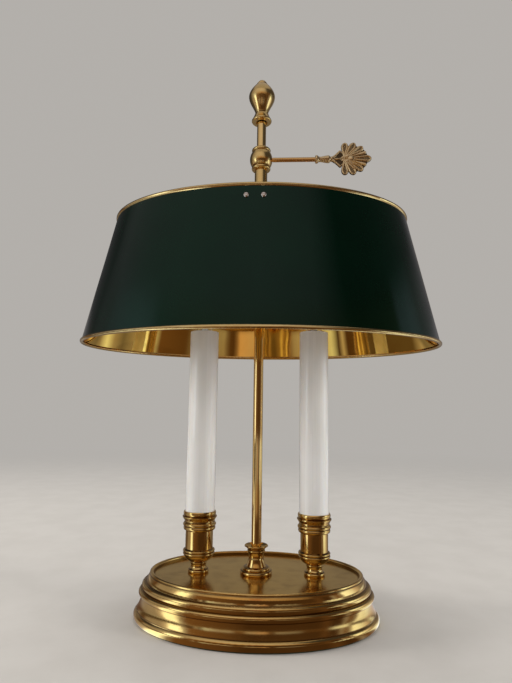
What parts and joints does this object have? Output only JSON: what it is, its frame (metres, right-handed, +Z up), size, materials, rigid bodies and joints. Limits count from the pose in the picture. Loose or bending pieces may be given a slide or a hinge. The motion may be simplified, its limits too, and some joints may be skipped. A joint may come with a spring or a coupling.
{
  "type": "bouillotte lamp",
  "caption": "Oval-based brass table lamp with candle lights under an oval enamelled metal shade that slides and turns on a rod and is clamped by a palmette key.",
  "frame": {"origin": "centre of the felt's underside, on the axis of the rod, at the height of the table", "axes": "+Z up along the rod, +X towards the palmette key and along the base's long axis, -Y towards the viewer of the front"},
  "size_m": [0.3548, 0.2368, 0.5448],
  "materials": {
    "base_brass": "satin",
    "turned_brass": "polished",
    "polished_brass": "polished",
    "antique_brass": "antiqued",
    "green_enamel": "gloss",
    "candle_white": "gloss",
    "bulb_glass": "clear",
    "plated_steel": "zinc plated",
    "nickel": "nickel plated",
    "aluminium": "satin",
    "contact_brass": "plain",
    "iron_weight": "rough",
    "felt": "matt",
    "socket_resin": "matt",
    "black_insulation": "matt",
    "white_insulation": "matt",
    "connector_plastic": "matt",
    "black_plastic": "matt"
  },
  "bodies": {
    "stand": {"base_felt": "felt", "base_shell": "base_brass", "base_weight": "iron_weight", "bottom_plate": "plated_steel", "bottom_nut": "plated_steel", "bottom_washer": "plated_steel", "weight_nut": "plated_steel", "column_nut": "plated_steel", "column_washer": "plated_steel", "cup_lower_nuts": "plated_steel", "cup_washers": "plated_steel", "cup_inner_nuts": "plated_steel", "cup_nipples": "plated_steel", "left_socket_bracket": "plated_steel", "right_socket_bracket": "plated_steel", "socket_rivets": "aluminium", "column_rod": "polished_brass", "column_foot": "turned_brass", "finial": "turned_brass", "left_candle_cup": "turned_brass", "right_candle_cup": "turned_brass", "left_candle_sleeve": "candle_white", "right_candle_sleeve": "candle_white", "left_bulb_glass": "bulb_glass", "right_bulb_glass": "bulb_glass", "left_bulb_base": "nickel", "right_bulb_base": "nickel", "left_socket_body": "socket_resin", "right_socket_body": "socket_resin", "left_socket_shell": "aluminium", "right_socket_shell": "aluminium", "left_socket_contact": "contact_brass", "right_socket_contact": "contact_brass", "left_hot_lead": "black_insulation", "right_hot_lead": "black_insulation", "switch_load_lead": "black_insulation", "switch_line_lead": "black_insulation", "left_neutral_lead": "white_insulation", "right_neutral_lead": "white_insulation", "wire_connectors": "connector_plastic", "switch_body": "socket_resin", "switch_ring_nut": "turned_brass", "cord_bushing": "black_plastic"},
    "slider": {"guide_bushing": "turned_brass"},
    "carriage": {"sleeve_tube": "polished_brass", "tube_end_cap": "turned_brass", "clamp_collar": "turned_brass", "crossbar_shoulder": "turned_brass", "crossbar_nut": "turned_brass", "shade_crossbar": "polished_brass", "shade_shell": "green_enamel", "shade_top_rim": "polished_brass", "shade_bottom_rim": "polished_brass", "shade_screws": "nickel", "shade_nuts": "nickel"},
    "key": {"key_rod": "polished_brass", "key_palmette": "antique_brass"},
    "knob": {"switch_stem": "polished_brass", "switch_knob": "turned_brass"}
  },
  "joints": [
    {"name": "shade_slide", "type": "slide", "parent": "stand", "child": "slider", "axis": [0, 0, 1], "range_m": [-0.035, 0.0302]},
    {"name": "shade_turn", "type": "hinge", "parent": "slider", "child": "carriage", "pos_m": [0, 0, 0.37], "axis": [0, 0, 1], "continuous": true},
    {"name": "key_turn", "type": "hinge", "parent": "carriage", "child": "key", "pos_m": [0.0123, 0, 0.4536], "axis": [1, 0, 0], "range_deg": [0, 360]},
    {"name": "switch_turn", "type": "hinge", "parent": "stand", "child": "knob", "pos_m": [0.042, 0.06703, 0.0154], "axis": [0.2708, 0.9626, 0], "continuous": true}
  ]
}
